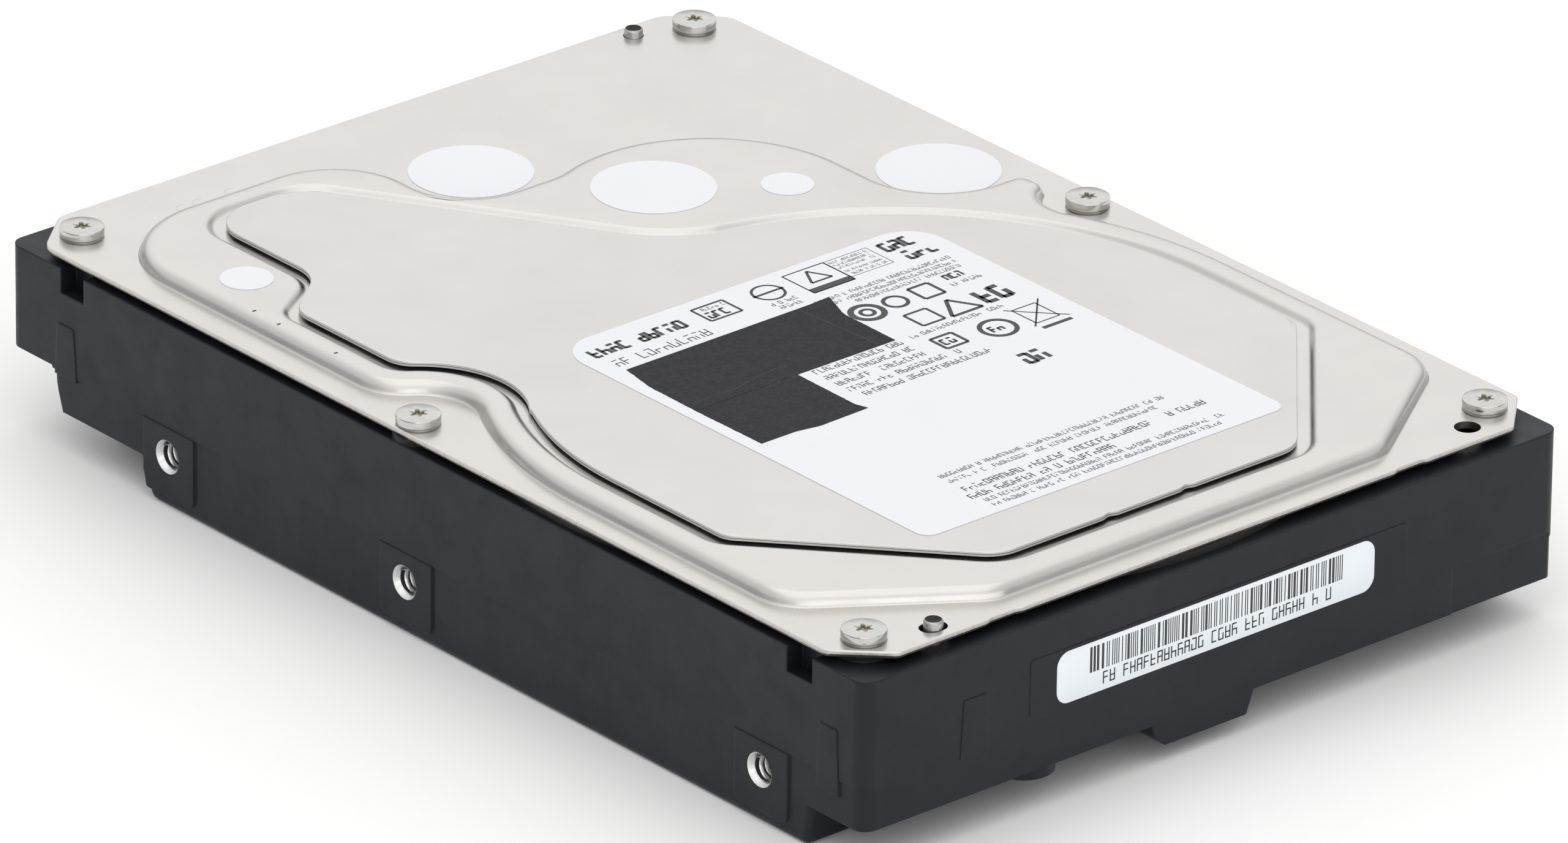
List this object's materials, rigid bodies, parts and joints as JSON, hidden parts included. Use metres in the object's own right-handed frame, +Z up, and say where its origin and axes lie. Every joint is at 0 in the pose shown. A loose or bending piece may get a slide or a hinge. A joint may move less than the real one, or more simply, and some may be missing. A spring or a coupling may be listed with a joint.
{
  "type": "hard disk drive",
  "caption": "Hard disk drive with a black cast base, raised metal cover, disc pack, swinging head actuator and rear connector.",
  "frame": {"origin": "middle of the bounding box in X and Y, on the bottom face of the side rails", "axes": "+Z up through the cover, +Y towards the connector end, +X across the drive"},
  "size_m": [0.1016, 0.147, 0.0261],
  "materials": {
    "cast_base": "satin black electrocoat",
    "gasket_rubber": "matt",
    "cover_sheet": "satin",
    "plate_sheet": "satin",
    "adhesive": "matt",
    "screw_steel": "polished",
    "pin_steel": "polished",
    "seal_film": "matt white",
    "label_film": "matt white",
    "tape_film": "matt charcoal",
    "barcode_film": "matt white",
    "bearing_bronze": "turned",
    "steel": "ground",
    "core_steel": "laminated",
    "copper_wire": "enamelled",
    "polyimide": "amber film",
    "hub_aluminium": "turned",
    "magnet": "nickel plated",
    "platter_mirror": "mirror",
    "spring_steel": "rolled",
    "slider_ceramic": "polished dark ceramic",
    "arm_aluminium": "machined",
    "coil_plastic": "moulded",
    "yoke_nickel": "nickel plated",
    "stop_rubber": "matt",
    "ramp_plastic": "moulded",
    "latch_plastic": "moulded",
    "filter_fleece": "felted",
    "connector_plastic": "moulded",
    "board_mask": "solder mask",
    "foam": "open cell",
    "chip_plastic": "moulded",
    "passive_ceramic": "fired ceramic",
    "gold": "plated"
  },
  "bodies": {
    "enclosure": {"base_casting": "cast_base", "cover_gasket": "gasket_rubber", "top_cover": "cover_sheet", "damping_plate": "plate_sheet", "plate_adhesive": "adhesive", "cover_screws": "screw_steel", "locating_pins": "pin_steel", "large_hole_seals": "seal_film", "small_hole_seals": "seal_film", "product_label": "label_film", "long_tape_strip": "tape_film", "short_tape_strip": "tape_film", "barcode_label": "barcode_film", "bearing_sleeve": "bearing_bronze", "thrust_cap": "steel", "stator_core": "core_steel", "stator_coils": "copper_wire", "motor_flex": "polyimide", "pivot_shaft": "steel", "inner_races": "steel", "lower_yoke": "yoke_nickel", "upper_yoke": "yoke_nickel", "lower_magnets": "magnet", "upper_magnets": "magnet", "yoke_posts": "steel", "yoke_screws": "screw_steel", "crash_stops": "stop_rubber", "load_ramp": "ramp_plastic", "ramp_screw": "screw_steel", "latch_pin": "steel", "recirculation_filter": "filter_fleece", "breather_filter": "filter_fleece", "head_connector": "connector_plastic", "flex_ribbon": "polyimide", "circuit_board": "board_mask", "foam_pad": "foam", "board_screws": "screw_steel", "controller_chip": "chip_plastic", "memory_chip": "chip_plastic", "motor_driver_chip": "chip_plastic", "board_passives": "passive_ceramic", "connector_housing": "connector_plastic", "connector_contacts": "gold"},
    "spindle_rotor": {"spindle_shaft": "steel", "rotor_hub": "hub_aluminium", "rotor_magnet": "magnet", "platters": "platter_mirror", "platter_spacers": "hub_aluminium", "disc_clamp": "spring_steel", "clamp_screws": "screw_steel"},
    "head_actuator": {"head_carriage": "arm_aluminium", "pivot_sleeve": "steel", "outer_races": "steel", "caged_balls": "steel", "voice_coil": "copper_wire", "coil_overmould": "coil_plastic", "suspensions": "spring_steel", "sliders": "slider_ceramic", "preamp_circuit": "polyimide"},
    "actuator_latch": {"latch_lever": "latch_plastic"}
  },
  "joints": [
    {"name": "spindle_spin", "type": "hinge", "parent": "enclosure", "child": "spindle_rotor", "pos_m": [0, -0.022, 0.014], "axis": [0, 0, 1], "continuous": true},
    {"name": "actuator_swing", "type": "hinge", "parent": "enclosure", "child": "head_actuator", "pos_m": [-0.017, 0.033, 0.014], "axis": [0, 0, -1], "range_deg": [0, 33.3]},
    {"name": "latch_swing", "type": "hinge", "parent": "enclosure", "child": "actuator_latch", "pos_m": [-0.0385, 0.0215, 0.0142], "axis": [0, 0, 1], "range_deg": [0, 12]}
  ]
}
